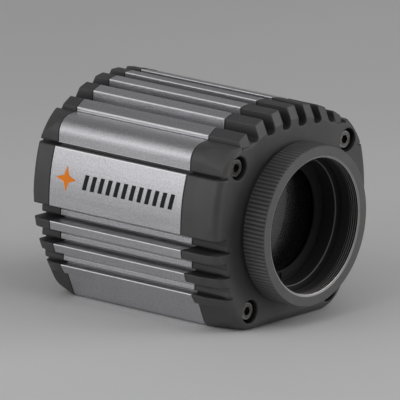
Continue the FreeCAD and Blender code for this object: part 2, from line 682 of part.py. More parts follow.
def desiccant():
    pucks = []
    for sx in (-1, 1):
        puck = cylinder(3.4, SPREADER_FRONT - 2.0, SPREADER_FRONT, sx * 15.4, 0)
        pucks.append(puck.makeChamfer(0.3, [e for e in puck.Edges if len(e.Vertexes) == 1]))
    return Part.makeCompound(pucks)


# ---------------------------------------------------------------- electronics
def round_board(y0, extra=()):
    board = cylinder(BOARD_RADIUS, y0, y0 + BOARD_THICK)
    holes = [cylinder(1.35, y0 - 1, y0 + BOARD_THICK + 1, x, z) for x, z in around(STANDOFF_CIRCLE, 4)]
    return board.cut(holes + list(extra))


def front_standoffs():
    posts = []
    for x, z in around(STANDOFF_CIRCLE, 4):
        post = hexagon(4.5, SPREADER_BACK, MAIN_BOARD, x, z)
        post = post.fuse(cylinder(1.25, SPREADER_BACK - 3.5, SPREADER_BACK, x, z)).removeSplitter()
        posts.append(post.cut(cylinder(1.3, MAIN_BOARD - 5, MAIN_BOARD + 1, x, z)))
    return Part.makeCompound(posts)


def rear_standoffs():
    posts = []
    for x, z in around(STANDOFF_CIRCLE, 4):
        post = hexagon(4.5, MAIN_BOARD + BOARD_THICK, PORT_BOARD, x, z)
        post = post.fuse(cylinder(1.25, MAIN_BOARD - 4, MAIN_BOARD + BOARD_THICK, x, z)).removeSplitter()
        posts.append(post.cut(cylinder(1.3, PORT_BOARD - 6, PORT_BOARD + 1, x, z)))
    return Part.makeCompound(posts)


def board_screws():
    back = PORT_BOARD + BOARD_THICK
    return Part.makeCompound([
        pan_screw(x, z, back + 1.7, back, PORT_BOARD - 5, 2.3, 1.25) for x, z in around(STANDOFF_CIRCLE, 4)])


def chips():
    front = MAIN_BOARD
    rear = MAIN_BOARD + BOARD_THICK
    return Part.makeCompound([
        slab(14, 14, front - 1.4, front, 0, 4),
        slab(8, 11, front - 1.1, front, -14, 3),
        slab(8, 11, front - 1.1, front, 14, 3),
        slab(9, 6, rear, rear + 1.6, -12, -6),
        slab(6, 5, rear, rear + 1.2, 12, -8),
        slab(5, 5, rear, rear + 3.0, 12, 3)])


def capacitors():
    rear = MAIN_BOARD + BOARD_THICK
    cans = []
    for x in (-7.0, 0.0, 7.0):
        can = cylinder(2.5, rear, rear + 6.0, x, -15.0)
        cans.append(can.makeFillet(0.5, rim_at(can, rear + 6.0)))
    return Part.makeCompound(cans)


def stack_connector():
    """Header and socket that join the two boards."""
    rear = MAIN_BOARD + BOARD_THICK
    socket = slab(20, 4.6, rear, rear + 6.5, 0, 13.5)
    return socket.fuse(slab(18, 3.4, rear + 6.5, PORT_BOARD, 0, 13.5)).removeSplitter()


def board_sockets():
    """Socket of the sensor ribbon at each end and the cooler's socket."""
    ribbon_sensor = slab(11, 2.4, SENSOR_BOARD_BACK, SENSOR_BOARD_BACK + 1.8, 0, RIBBON_Z + 0.2)
    ribbon_main = slab(12, 3.0, MAIN_BOARD - 2.0, MAIN_BOARD, 0, RIBBON_Z)
    cooler = slab(9, 3.6, MAIN_BOARD - 3.0, MAIN_BOARD, 0, WIRE_Z + 0.2)
    return Part.makeCompound([ribbon_sensor, ribbon_main, cooler])


def ribbon():
    return box(-4, 4, SENSOR_BOARD_BACK + 1.8, MAIN_BOARD - 2.0, RIBBON_Z - 0.1, RIBBON_Z + 0.1)


def ribbon_seal():
    plug = box(-5, 5, SPREADER_FRONT, SPREADER_BACK, RIBBON_Z - 0.7, RIBBON_Z + 0.7)
    return plug.cut(box(-4, 4, SPREADER_FRONT - 1, SPREADER_BACK + 1, RIBBON_Z - 0.1, RIBBON_Z + 0.1))


# ---------------------------------------------------------------- ports
def usb_shell():
    y0 = PORT_BOARD + BOARD_THICK
    shell = slab(12.0, 10.9, y0, BACK - 0.2, USB_X, PORT_Z)
    mouth = prism([(USB_X - 4.25, PORT_Z - 3.9), (USB_X + 4.25, PORT_Z - 3.9), (USB_X + 4.25, PORT_Z + 2.3),
                   (USB_X + 2.7, PORT_Z + 3.9), (USB_X - 2.7, PORT_Z + 3.9), (USB_X - 4.25, PORT_Z + 2.3)],
                  BACK - 12, BACK + 1)
    return shell.cut(mouth)


def usb_tongue():
    return slab(5.5, 3.1, BACK - 12, BACK - 1.5, USB_X, PORT_Z)


def power_socket():
    y0 = PORT_BOARD + BOARD_THICK
    body = slab(9.0, 10.0, y0, BACK - REAR_WALL - 0.2, POWER_X, PORT_Z)
    body = body.fuse(cylinder(4.0, y0, BACK - 0.2, POWER_X, PORT_Z)).removeSplitter()
    body = body.cut(cylinder(PLUG_RADIUS, BACK - 9.5, BACK + 1, POWER_X, PORT_Z))
    return body.cut(cylinder(1.0, y0 + 4, BACK, POWER_X, PORT_Z))


def power_pin():
    y0 = PORT_BOARD + BOARD_THICK
    pin = cylinder(1.0, y0 + 4, BACK - 1.0, POWER_X, PORT_Z)
    return pin.makeFillet(0.4, rim_at(pin, BACK - 1.0))


def light_pipe():
    y0 = PORT_BOARD + BOARD_THICK
    pipe = cylinder(1.2, y0 + 0.8, BACK, 0, LIGHT_Z)
    return pipe.fuse(cylinder(2.0, BACK - REAR_WALL - 1.2, BACK - REAR_WALL, 0, LIGHT_Z)).removeSplitter()


def light_chip():
    y0 = PORT_BOARD + BOARD_THICK
    return slab(1.6, 1.2, y0, y0 + 0.8, 0, LIGHT_Z)


def window_seal():
    section_radius = (WINDOW_SEAT - WINDOW_BACK) / 2
    return o_ring(WINDOW_RADIUS - 0.7, WINDOW_BACK + section_radius, section_radius)


def build():
    housing, star, bars = housing_and_mark()
    port_chips = Part.makeCompound([
        slab(7, 7, PORT_BOARD - 1.0, PORT_BOARD, -10, 2), slab(5, 6, PORT_BOARD - 1.4, PORT_BOARD, 10, 2),
        slab(4, 4, PORT_BOARD - 2.0, PORT_BOARD, 2, -12)])
    return {
        "housing": housing,
        "mark_star": star,
        "mark_bars": bars,
        "front_cap": front_cap(),
        "rear_cap": rear_cap(),
        "front_gasket": gasket(CAP_REAR),
        "rear_gasket": gasket(SHELL_REAR),
        "front_screws": front_screws(),
        "rear_screws": rear_screws(),
        "adapter_ring": adapter_ring(),
        "adapter_washer": adapter_washer(),
        "window_retainer": window_retainer(),
        "window": window(),
        "window_seal": window_seal(),
        "sensor_cover_glass": slab(18, 15, COVER_FRONT, PACKAGE_FRONT),
        "sensor_die": slab(SENSOR_SIZE[0], SENSOR_SIZE[1], SENSOR_PLANE, SENSOR_PLANE + 0.4),
        "sensor_package": sensor_package(),
        "sensor_board": sensor_board(),
        "sensor_screws": sensor_screws(),
        "chamber_ring": chamber_ring(),
        "chamber_seals": chamber_seals(),
        "chamber_screws": chamber_screws(),
        "heat_spreader": heat_spreader(),
        "cold_finger": cold_finger(),
        "cooler_cold_plate": slab(16, 16, COLD_PLATE, PELLETS),
        "cooler_pellets": cooler_pellets(),
        "cooler_hot_plate": slab(18, 18, HOT_PLATE, SPREADER_FRONT),
        "cooler_wires": cooler_wires(),
        "temperature_sensor": slab(3, 1.2, FINGER_FOOT + 0.5, COLD_PLATE - 0.5, 0, 8.6),
        "desiccant": desiccant(),
        "ribbon_seal": ribbon_seal(),
        "sensor_ribbon": ribbon(),
        "board_sockets": board_sockets(),
        "front_standoffs": front_standoffs(),
        "main_board": round_board(MAIN_BOARD),
        "main_board_chips": chips(),
        "capacitors": capacitors(),
        "stack_connector": stack_connector(),
        "rear_standoffs": rear_standoffs(),
        "port_board": round_board(PORT_BOARD),
        "port_board_chips": port_chips,
        "board_screws": board_screws(),
        "usb_shell": usb_shell(),
        "usb_tongue": usb_tongue(),
        "power_socket": power_socket(),
        "power_pin": power_pin(),
        "light_pipe": light_pipe(),
        "light_chip": light_chip(),
    }


if __name__ == "__main__":
    os.makedirs("parts", exist_ok=True)
    for node, shape in build().items():
        shape.exportStep("parts/" + node + ".step")
        solids = shape.Solids
        print(node, len(solids), all(s.isValid() for s in solids), round(sum(s.Volume for s in solids), 1))
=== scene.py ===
"""Looks of the cooled astronomy camera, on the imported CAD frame. Metres, in the frame's own axes."""

import json
import math

import bpy
from mathutils import Matrix, Vector


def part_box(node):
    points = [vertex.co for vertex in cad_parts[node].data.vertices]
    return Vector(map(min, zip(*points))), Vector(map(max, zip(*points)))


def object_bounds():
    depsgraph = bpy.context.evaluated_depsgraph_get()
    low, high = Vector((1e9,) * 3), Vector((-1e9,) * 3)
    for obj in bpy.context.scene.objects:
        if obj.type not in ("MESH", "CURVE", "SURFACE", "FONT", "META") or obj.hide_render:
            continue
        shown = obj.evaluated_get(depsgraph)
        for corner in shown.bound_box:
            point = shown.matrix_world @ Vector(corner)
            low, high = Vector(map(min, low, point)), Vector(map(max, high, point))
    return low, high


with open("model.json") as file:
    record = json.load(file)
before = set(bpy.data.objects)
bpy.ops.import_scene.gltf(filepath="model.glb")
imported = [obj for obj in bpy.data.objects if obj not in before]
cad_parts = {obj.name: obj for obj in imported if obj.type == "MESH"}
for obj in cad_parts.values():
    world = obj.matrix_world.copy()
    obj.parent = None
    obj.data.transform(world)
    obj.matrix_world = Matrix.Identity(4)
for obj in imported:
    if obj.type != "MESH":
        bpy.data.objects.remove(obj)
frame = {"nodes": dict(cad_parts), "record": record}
cad_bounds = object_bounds()
nodes = frame["nodes"]

MM = 0.001

cap_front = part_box("front_cap")[0].y / MM
cap_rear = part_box("front_cap")[1].y / MM
cap_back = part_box("rear_cap")[1].y / MM
caps_middle = (cap_front + cap_back) / 2
caps_half = (cap_back - cap_front) / 2

# Camera, as an orbit about a point inside the housing.
CAMERA_AZIMUTH = -51.06
CAMERA_ELEVATION = 13.94
CAMERA_ROLL = 1.55
CAMERA_DISTANCE = 2.994
CAMERA_AIM = Vector((-16.1, 31.05, 5.3)) * MM
VIEW_WIDTH = 118.1 * MM
SENSOR_WIDTH = 36.0

# Places on the part where the finish, the painted shade and the painted highlights change, in millimetres.
RIB_PITCH = 7.36
RIB_WIDTH = 3.66
RIB_FOOT = 26.75          # height at which the outermost ribs meet the corner panels
CROWN_RADIUS = 44.0       # the rib tops lie on an arc of this radius
CROWN_CENTRE = -9.2       # and about this height
LAND_TOPS = (17.6, -4.95, -12.3, -19.3)
SLITS = (                 # top, bottom and outer half width of each
    (-4.2, -4.95, 35.3),
    (-11.5, -12.3, 33.2),
    (-18.4, -19.3, 27.6),
)
CREASE = (17.6, 18.35)    # the step between the wide panel and the corner panel above it
SCREWS = ((25.5, 20.3), (18.5, -24.3))
WELL_RADIUS = 3.75
HEAD_RADIUS = 2.75
SOCKET_RADIUS = 22.7      # everything in the front cap inside this radius belongs to the light path
MOUTH_RADIUS = 21.2
MOUTH_EDGE = 20.95        # about half way down the chamfer at the mouth
MOUTH_DEPTH = 0.45        # the chamfer's painted highlight ends this far in
KNURL_RADIUS = 24.2       # half way up the ridges
KNURL_START = 0.25
THREAD_RADIUS = 20.594
THREAD_PITCH = 0.75
CREST_START = 0.4
CREST_HALF = 0.27         # a crest starts this far from the middle of the groove beside it
CREST_FADE = (2.6, 1.6)   # depth at which the painted highlight on the crests is half gone, and half the fade's length
STEP_RADIUS = 19.3
STEP_DEPTH = 8.2          # the step's painted highlight ends this far in
TURNING_PITCH = 0.12
GROOVE_START = 26.6       # the side grooves all lie outside this half width
LAND_START = 27.2         # the painted highlights on the lands' edges lie outside this one
UNDER_SLOTS = 26.0        # a height below the floors of the top slots
SLOT_SHADE_START = 28.0   # the housing's slots are shaded above this height
SLOT_SHADE = (3.2, 3.0)   # depth under the rib tops at which that shade is half grown, and half its length
CAP_SLOT_SHADE = (1.5, 1.5)
EDGE_DEPTH = 0.4          # a rib's painted edge highlight ends this far under its top

# How far from the caps' outer faces each area of painted shade starts, and half the length of its blend, in
# millimetres.
WELL_INSET = (0.6, 0.4)
SLIT_INSET = (2.8, 0.8)
SLOT_INSET = (0.35, 0.3)

# Blends, in millimetres.
SOFT = 0.1                # usual half width of a blend between two colours
FINE = 0.05
CAP_EDGE = 0.7            # edge rounding in the shading
HOUSING_EDGE = 0.15

# Painted highlight colour for the edges of the ribs and lands.
EDGE_PAINTED_HIGHLIGHT = (0.86, 0.86, 0.87)
# Painted shade in the housing's slots and side slits.
GROOVE_PAINTED_SHADE = (0.26, 0.26, 0.27)
# Painted shade in the crease under the corner panel.
CREASE_PAINTED_SHADE = (0.12, 0.12, 0.125)
# Near black: the blackened light path, and painted shade in the caps' screw wells, slits and slots.
BLACK_INSIDE_AND_PAINTED_SHADE = (0.013, 0.011, 0.014)
INSIDE_ROUGHNESS = 0.8
HOUSING_SLOT_SHADE = 0.6
CAP_GROOVE_SHADE = 0.7
# Painted shade between the knurl's ridges.
KNURL_VALLEY_PAINTED_SHADE = 0.062
# Strengths and grey of the painted highlights on the ring's mouth, step and thread crests.
MOUTH_PAINTED_HIGHLIGHT = 0.6
STEP_PAINTED_HIGHLIGHT = 0.25
PAINTED_HIGHLIGHT_GREY = (0.52, 0.51, 0.50)
GRAIN = 9000.0            # cells per metre of a bead-blasted or moulded surface
COATING_BLUR = 0.22
MATT = {"Specular_IOR_Level": 0.2}
BEVEL_SAMPLES = 6

FLOOR_SIZE = 4.0
FLOOR_GREYS = (0.70, 0.74)
WORLD_STRENGTH = 0.18
LIGHT_DISTANCE = 0.9
LIGHT_SIZE = 0.6
LIGHTS = (                # name, azimuth, elevation, watts
    ("key", -112.0, 8.0, 1.4),
    ("left", -90.0, 35.0, 1.2),
    ("rear_left", -135.0, 25.0, 0.5),
    ("top", -60.0, 65.0, 0.7),
    ("fill", 40.0, 17.0, 2.7),
    ("front_top", 0.0, 50.0, 0.95),
    ("rear", 150.0, 35.0, 0.13),
)


# ---------------------------------------------------------------- node helpers
class Shader:
    """A material with one Principled shader and short calls that add nodes to it."""

    def __init__(self, name):
        self.material = bpy.data.materials.new(name)
        self.material.use_nodes = True
        self.tree = self.material.node_tree
        self.tree.nodes.clear()
        self.output = self.tree.nodes.new("ShaderNodeOutputMaterial")
        self.principled = self.tree.nodes.new("ShaderNodeBsdfPrincipled")
        self.link(self.principled.outputs[0], self.output.inputs[0])
        self.coords = self.tree.nodes.new("ShaderNodeTexCoord").outputs["Object"]

    def link(self, a, b):
        self.tree.links.new(a, b)

    def feed(self, socket, source):
        self.link(source, self.principled.inputs[socket])

    def stretched(self, scale):
        """Object coordinates scaled by a vector, in cells per metre."""
        node = self.tree.nodes.new("ShaderNodeMapping")
        node.inputs["Scale"].default_value = scale
        self.link(self.coords, node.inputs["Vector"])
        return node.outputs[0]

    def noise(self, scale, detail=3.0, roughness=0.55):
        """Noise with cells per metre along each axis; one number for the same on all three."""
        vector = (scale, scale, scale) if isinstance(scale, (int, float)) else scale
        node = self.tree.nodes.new("ShaderNodeTexNoise")
        node.inputs["Scale"].default_value = 1.0
        node.inputs["Detail"].default_value = detail
        node.inputs["Roughness"].default_value = roughness
        self.link(self.stretched(vector), node.inputs["Vector"])
        return node.outputs["Fac"]

    def axis(self, name):
        """One object coordinate, in millimetres."""
        split = self.tree.nodes.new("ShaderNodeSeparateXYZ")
        self.link(self.coords, split.inputs[0])
        return self.math("DIVIDE", split.outputs[name], MM)

    def side(self):
        """Distance from the middle plane, in millimetres."""
        return self.math("ABSOLUTE", self.axis("X"))

    def radius(self, x=0.0, z=0.0):
        """Distance in millimetres from a line along Y through (x, z), or (-x, z) on the other side."""
        across = self.math("POWER", self.math("SUBTRACT", self.side(), x), 2.0)
        up = self.math("POWER", self.math("SUBTRACT", self.axis("Z"), z), 2.0)
        return self.math("SQRT", self.math("ADD", across, up))

    def math(self, operation, a, b=0.0):
        node = self.tree.nodes.new("ShaderNodeMath")
        node.operation = operation
        for socket, value in zip(node.inputs, (a, b)):
            if isinstance(value, (int, float)):
                socket.default_value = value
            else:
                self.link(value, socket)
        return node.outputs[0]

    def chain(self, operation, values):
        result = values[0]
        for value in values[1:]:
            result = self.math(operation, result, value)
        return result

    def product(self, *values):
        return self.chain("MULTIPLY", values)

    def total(self, *values):
        return self.chain("ADD", values)

    def largest(self, *values):
        return self.chain("MAXIMUM", values)

    def below(self, value, edge, soft=SOFT):
        """1 below an edge and 0 above it, blended over a band of the given half width."""
        node = self.tree.nodes.new("ShaderNodeMapRange")
        node.interpolation_type = "SMOOTHSTEP"
        self.link(value, node.inputs["Value"])
        node.inputs["From Min"].default_value = edge - soft
        node.inputs["From Max"].default_value = edge + soft
        node.inputs["To Min"].default_value = 1.0
        node.inputs["To Max"].default_value = 0.0
        return node.outputs["Result"]

    def above(self, value, edge, soft=SOFT):
        """0 below an edge and 1 above it."""
        return self.math("SUBTRACT", 1.0, self.below(value, edge, soft))

    def near(self, value, centre, half, soft=SOFT):
        """1 within half of a value, fading to 0 outside."""
        return self.below(self.math("ABSOLUTE", self.math("SUBTRACT", value, centre)), half, soft)

    def blend(self, factor, a, b):
        """Colour or grey a where the factor is 0 and b where it is 1."""
        node = self.tree.nodes.new("ShaderNodeMix")
        node.data_type = "RGBA"
        self.link(factor, node.inputs[0])
        for socket, value in ((node.inputs[6], a), (node.inputs[7], b)):
            if isinstance(value, (int, float)):
                value = (value,) * 3
            if isinstance(value, tuple):
                socket.default_value = (*value, 1.0)
            else:
                self.link(value, socket)
        return node.outputs[2]

    def ramp(self, source, stops):
        """Colours or greys at positions from 0 to 1."""
        node = self.tree.nodes.new("ShaderNodeValToRGB")
        band = node.color_ramp
        while len(band.elements) < len(stops):
            band.elements.new(0.5)
        for element, (position, colour) in zip(band.elements, stops):
            rgb = (colour,) * 3 if isinstance(colour, (int, float)) else colour
            element.position = position
            element.color = (*rgb, 1.0)
        self.link(source, node.inputs[0])
        return node.outputs[0]

    def bevel(self, size):
        """Normals rounded over the edges, by a radius in metres."""
        node = self.tree.nodes.new("ShaderNodeBevel")
        node.samples = BEVEL_SAMPLES
        node.inputs["Radius"].default_value = size
        return node.outputs[0]

    def bump(self, height, distance, strength=1.0, under=None):
        node = self.tree.nodes.new("ShaderNodeBump")
        node.inputs["Distance"].default_value = distance
        node.inputs["Strength"].default_value = strength
        self.link(height, node.inputs["Height"])
        if under is not None:
            self.link(under, node.inputs["Normal"])
        return node.outputs[0]


def tint(colour, factor):
    return tuple(c * factor for c in colour)


def grained(name, colour, metallic=0.0, roughness=0.5, vary=0.12, blotch=220.0, depth=0.01, **extra):
    """General surface: gentle uneven colour and gloss, with a fine grain. Depth is in millimetres."""
    shader = Shader(name)
    shades = [(0.3, tint(colour, 1 - vary)), (0.7, tint(colour, 1 + vary))]
    shader.feed("Base Color", shader.ramp(shader.noise(blotch), shades))
    gloss = [(0.3, roughness * 0.9), (0.7, roughness * 1.1)]
    shader.feed("Roughness", shader.ramp(shader.noise(blotch * 3), gloss))
    shader.feed("Normal", shader.bump(shader.noise(GRAIN, 2.0), depth * MM))
    shader.principled.inputs["Metallic"].default_value = metallic
    for key, value in extra.items():
        shader.principled.inputs[key.replace("_", " ")].default_value = value
    return shader.material


# ---------------------------------------------------------------- materials
def satin_aluminium():
    """Extruded, blasted, clear-anodised: even grain, faint streaks along it; painted shade in the grooves
    and the crease, painted highlights along the edges.
    """
    shader = Shader("satin_aluminium")
    streak = shader.noise((1100.0, 14.0, 1100.0), 3.0)
    cloud = shader.noise((60.0, 20.0, 60.0), 2.0)
    speckle = shader.noise(2100.0, 1.0)
    mix = shader.total(shader.product(streak, 0.16), shader.product(cloud, 0.24))
    mix = shader.total(mix, shader.product(speckle, 0.6))
    height = shader.total(shader.product(streak, 0.12), shader.product(speckle, 0.88))
    body = shader.ramp(mix, [(0.35, (0.472, 0.470, 0.492)), (0.65, (0.623, 0.620, 0.650))])
    # Painted shade, deepening into the top slots and filling the side slits.
    body = shader.blend(painted_groove_shade(shader), body, GROOVE_PAINTED_SHADE)
    # Painted shade along the crease.
    body = shader.blend(crease(shader), body, CREASE_PAINTED_SHADE)
    # Painted highlights along the rib and land edges.
    edges = shader.largest(rib_edge_highlights(shader), land_edge_highlights(shader))
    shader.feed("Base Color", shader.blend(edges, body, EDGE_PAINTED_HIGHLIGHT))
    shader.feed("Roughness", shader.blend(edges, shader.ramp(mix, [(0.35, 0.35), (0.65, 0.42)]), 0.45))
    shader.feed("Normal", shader.bump(height, 0.08 * MM, 1.0, shader.bevel(HOUSING_EDGE * MM)))
    shader.principled.inputs["Metallic"].default_value = 1.0
    return shader.material


def under_crown(shader, depth, soft=SOFT):
    """1 deeper under the arc of the rib tops than the given depth, 0 above."""
    return shader.below(shader.radius(0.0, CROWN_CENTRE), CROWN_RADIUS - depth, soft)


def painted_groove_shade(shader):
    """How much painted shade: grows from the rib tops towards the slot floors, and is 1 in the slits of the
    sides.
    """
    deep = under_crown(shader, *SLOT_SHADE)
    slot = shader.product(deep, shader.above(shader.axis("Z"), SLOT_SHADE_START), HOUSING_SLOT_SHADE)
    return shader.largest(slot, side_slits(shader))


def side_slits(shader):
    """Upward faces and slits of the side grooves, where shade is painted."""
    z = shader.axis("Z")
    x = shader.side()
    bands = []
    for top, bottom, outer in SLITS:
        band = shader.near(z, (top + bottom) / 2, (top - bottom) / 2 + 0.03, 0.03)
        bands.append(shader.product(band, shader.below(x, outer)))
    return shader.product(shader.total(*bands), shader.above(x, GROOVE_START))


def crease(shader):
    """The step between the wide panel and the corner panel above it, where shade is painted."""
    low, high = CREASE
    band = shader.near(shader.axis("Z"), (low + high) / 2, (high - low) / 2 + 0.03, 0.03)
    return shader.product(band, shader.above(shader.side(), GROOVE_START))


def rib_offset(shader):
    """Distance across from the middle of the nearest top rib, in millimetres."""
    cell = shader.math("FLOORED_MODULO", shader.math("ADD", shader.axis("X"), RIB_PITCH / 2), RIB_PITCH)
    return shader.math("ABSOLUTE", shader.math("SUBTRACT", cell, RIB_PITCH / 2))


def top_slots(shader):
    """Walls and floors of the slots between the top ribs, where the caps get painted shade."""
    between = shader.above(rib_offset(shader), RIB_WIDTH / 2 - 0.06, 0.03)
    across = shader.below(shader.side(), RIB_PITCH * 3 + 1.0, FINE)
    deep = under_crown(shader, *CAP_SLOT_SHADE)
    return shader.product(between, across, deep, shader.above(shader.axis("Z"), UNDER_SLOTS))


def rib_edge_highlights(shader):
    """Painted highlights along both upper edges of every top rib, and along the foot of the outermost ones.
    """
    corner = shader.near(rib_offset(shader), RIB_WIDTH / 2, 0.25, 0.12)
    high = shader.math("SUBTRACT", 1.0, under_crown(shader, EDGE_DEPTH))
    tops = shader.product(corner, high, shader.below(shader.side(), RIB_PITCH * 3.5, FINE))
    foot = shader.near(shader.side(), RIB_PITCH * 3 + RIB_WIDTH / 2, 0.1, FINE)
    foot = shader.product(foot, shader.near(shader.axis("Z"), RIB_FOOT, 0.15, 0.08))
    return shader.largest(tops, foot)


def land_edge_highlights(shader):
    """Painted highlights along the upper edges of the lands and the wide panel, and the lower edge of the
    corner panel.
    """
    z = shader.axis("Z")
    lines = [shader.near(z, top - 0.2, 0.17) for top in LAND_TOPS]
    lines.append(shader.near(z, CREASE[1] + 0.24, 0.2, 0.06))
    return shader.product(shader.total(*lines), shader.above(shader.side(), LAND_START))


def behind_faces(shader, inset, soft):
    """1 further than inset from the outer face of either cap, 0 nearer to it."""
    return shader.near(shader.axis("Y"), caps_middle, caps_half - inset, soft)


def dark_anodised():
    """Dark grey anodised caps, machined and blasted; painted shade in the screw wells, slits and slots, and
    near black in the blackened light path.
    """
    shader = Shader("dark_anodised")
    cloud = shader.noise(90.0, 3.0)
    body = shader.ramp(cloud, [(0.3, (0.070, 0.067, 0.069)), (0.7, (0.086, 0.0825, 0.085))])
    y = shader.axis("Y")
    light_path = shader.below(shader.radius(), SOCKET_RADIUS, FINE)
    light_path = shader.product(light_path, shader.below(y, cap_rear))
    sunk = behind_faces(shader, *WELL_INSET)
    wells = [shader.below(shader.radius(x, z), WELL_RADIUS, FINE) for x, z in SCREWS]
    wells = shader.product(shader.largest(*wells), sunk)
    slits = shader.largest(side_slits(shader), crease(shader))
    slits = shader.product(slits, CAP_GROOVE_SHADE, behind_faces(shader, *SLIT_INSET))
    slots = shader.product(top_slots(shader), behind_faces(shader, *SLOT_INSET), CAP_GROOVE_SHADE)
    # Painted shade in the wells, slits and slots; the light path is blackened.
    dark = shader.largest(light_path, wells, slits, slots)
    shader.feed("Base Color", shader.blend(dark, body, BLACK_INSIDE_AND_PAINTED_SHADE))
    gloss = shader.ramp(shader.noise(400.0), [(0.3, 0.46), (0.7, 0.54)])
    shader.feed("Roughness", shader.blend(dark, gloss, INSIDE_ROUGHNESS))
    grain = shader.noise(3500.0, 2.0)
    shader.feed("Normal", shader.bump(grain, 0.010 * MM, 1.0, shader.bevel(CAP_EDGE * MM)))
    shader.feed("Metallic", shader.blend(dark, 0.3, 0.0))
    return shader.material


def ring_anodised():
    """Lathe-turned dark ring: fine rings about the axis, near black inside; painted shade in the knurl's
    valleys, painted highlights on the mouth's chamfer, the inner step and the thread crests.
    """
    shader = Shader("ring_anodised")
    radius = shader.radius()
    y = shader.axis("Y")
    cloud = shader.noise(150.0, 3.0)
    body = shader.ramp(cloud, [(0.3, (0.101, 0.097, 0.098)), (0.7, (0.120, 0.116, 0.117))])
    # Painted shade in the valleys between the knurl's ridges.
    valley = shader.product(shader.below(radius, KNURL_RADIUS), shader.above(radius, KNURL_RADIUS - 0.5))
    body = shader.blend(shader.product(valley, shader.above(y, KNURL_START)), body, KNURL_VALLEY_PAINTED_SHADE)
    inside = shader.below(radius, MOUTH_RADIUS, FINE)
    place = shader.math("FLOORED_MODULO", shader.math("SUBTRACT", y, CREST_START), THREAD_PITCH)
    off = shader.math("ABSOLUTE", shader.math("SUBTRACT", place, THREAD_PITCH / 2))
    crest = shader.product(shader.above(off, CREST_HALF, 0.03), shader.below(y, *CREST_FADE))
    crest = shader.product(crest, shader.near(radius, THREAD_RADIUS, 0.15, FINE))
    mouth = shader.product(shader.near(radius, MOUTH_EDGE, 0.3, FINE), shader.below(y, MOUTH_DEPTH, FINE))
    step = shader.product(shader.near(radius, STEP_RADIUS + 0.1, 0.12, FINE), shader.below(y, STEP_DEPTH))
    # Painted highlights on the thread crests, the mouth's chamfer and the inner step.
    painted_highlight = shader.largest(crest, shader.product(mouth, MOUTH_PAINTED_HIGHLIGHT), shader.product(step, STEP_PAINTED_HIGHLIGHT))
    dark = shader.product(inside, shader.math("SUBTRACT", 1.0, painted_highlight))
    painted_highlight_in_bore = shader.product(inside, painted_highlight)
    shader.feed("Base Color", shader.blend(painted_highlight_in_bore, shader.blend(dark, body, BLACK_INSIDE_AND_PAINTED_SHADE), PAINTED_HIGHLIGHT_GREY))
    gloss = shader.ramp(cloud, [(0.3, 0.40), (0.7, 0.50)])
    shader.feed("Roughness", shader.blend(dark, gloss, INSIDE_ROUGHNESS))
    rings = shader.math("SINE", shader.math("MULTIPLY", radius, 2 * math.pi / TURNING_PITCH))
    grain = shader.bump(shader.noise(GRAIN, 2.0), 0.006 * MM)
    shader.feed("Normal", shader.bump(rings, 0.002 * MM, 1.0, grain))
    shader.feed("Metallic", shader.blend(painted_highlight_in_bore, shader.blend(dark, 0.3, 0.0), 0.9))
    return shader.material


def dark_steel():
    """Black-oxide screws: lighter grey on the rims of the four corner heads."""
    shader = Shader("dark_steel")
    cloud = shader.noise(700.0)
    body = shader.ramp(cloud, [(0.3, (0.13, 0.125, 0.12)), (0.7, (0.19, 0.185, 0.18))])
    rims = [shader.near(shader.radius(x, z), HEAD_RADIUS - 0.2, 0.28) for x, z in SCREWS]
    shader.feed("Base Color", shader.blend(shader.largest(*rims), body, (0.34, 0.33, 0.32)))
    shader.feed("Roughness", shader.ramp(cloud, [(0.3, 0.30), (0.7, 0.40)]))
    shader.feed("Normal", shader.bump(shader.noise(GRAIN, 2.0), 0.008 * MM))
    shader.principled.inputs["Metallic"].default_value = 1.0
    return shader.material


def glass(name, colour, roughness=0.02, tone=(1.0, 1.0, 1.0), gloss=0.5, coat=0.0):
    """Clear glass with an uneven film of dust; tone colours its reflection, coat adds a soft one over it."""
    shader = Shader(name)
    dust = shader.noise(350.0, 4.0)
    shader.feed("Roughness", shader.ramp(dust, [(0.45, roughness), (0.8, roughness + 0.1)]))
    shader.feed("Base Color", shader.ramp(dust, [(0.3, colour), (0.8, tint(colour, 0.92))]))
    shader.principled.inputs["Transmission Weight"].default_value = 1.0
    shader.principled.inputs["IOR"].default_value = 1.45
    shader.principled.inputs["Specular Tint"].default_value = (*tone, 1.0)
    shader.principled.inputs["Specular IOR Level"].default_value = gloss
    shader.principled.inputs["Coat Weight"].default_value = coat
    shader.principled.inputs["Coat Roughness"].default_value = COATING_BLUR
    return shader.material


def circuit_board():
    """Green solder mask over copper tracks on a square grid."""
    shader = Shader("board_green")
    track = shader.noise((700.0, 700.0, 90.0), 0.0)
    across = shader.noise((90.0, 700.0, 700.0), 0.0)
    height = shader.largest(track, across)
    green = shader.ramp(height, [(0.58, (0.012, 0.07, 0.035)), (0.60, (0.03, 0.16, 0.08))])
    shader.feed("Base Color", green)
    shader.feed("Roughness", shader.ramp(shader.noise(500.0), [(0.3, 0.3), (0.7, 0.4)]))
    shader.feed("Normal", shader.bump(shader.ramp(height, [(0.57, 0.0), (0.61, 1.0)]), 0.03 * MM))
    return shader.material


def sensor_silicon():
    """Pixel array: dark silicon with fine crossed rows."""
    shader = Shader("silicon")
    rows = shader.noise((40.0, 1.0, 12000.0), 1.0)
    columns = shader.noise((12000.0, 1.0, 40.0), 1.0)
    mix = shader.product(rows, columns)
    shader.feed("Base Color", shader.ramp(mix, [(0.15, (0.02, 0.022, 0.032)), (0.35, (0.035, 0.035, 0.05))]))
    shader.feed("Roughness", shader.ramp(mix, [(0.15, 0.12), (0.35, 0.2)]))
    shader.principled.inputs["Metallic"].default_value = 0.7
    return shader.material


